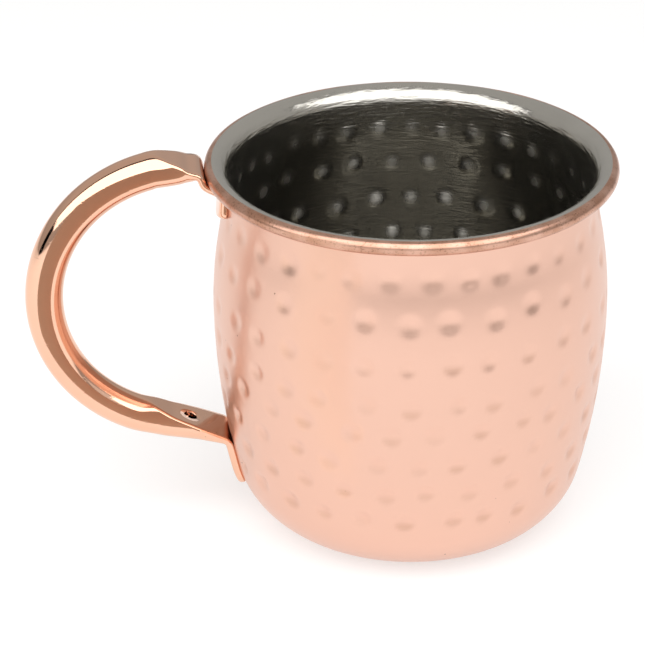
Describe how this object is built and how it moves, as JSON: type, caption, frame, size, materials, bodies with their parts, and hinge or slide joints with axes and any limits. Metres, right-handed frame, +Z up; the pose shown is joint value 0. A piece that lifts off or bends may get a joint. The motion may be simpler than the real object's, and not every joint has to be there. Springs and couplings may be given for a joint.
{
  "type": "drinking mug",
  "caption": "Round-bellied drinking mug: a drawn steel cup in a hammered copper jacket, with a rolled rim bead and a looped tube handle welded on at its flattened ends.",
  "frame": {"origin": "centre of the flat base on the mug's axis, where it rests on a table", "axes": "+Z up along the mug's axis, handle on the -X side, so the mug is symmetric about the XZ plane"},
  "size_m": [0.1347, 0.093, 0.0933],
  "materials": {
    "steel": "bright drawn steel with a hammered surface, lightly spun under the lip",
    "copper": "polished and lacquered rose copper, hammered in rows",
    "handle_copper": "polished rose copper tube",
    "weld": "fused metal, hidden in the seam"
  },
  "bodies": {
    "root": {"inner_cup": "steel", "copper_jacket": "copper", "handle_tube": "handle_copper", "upper_weld_left": "weld", "upper_weld_right": "weld", "lower_weld_left": "weld", "lower_weld_right": "weld"}
  },
  "joints": []
}
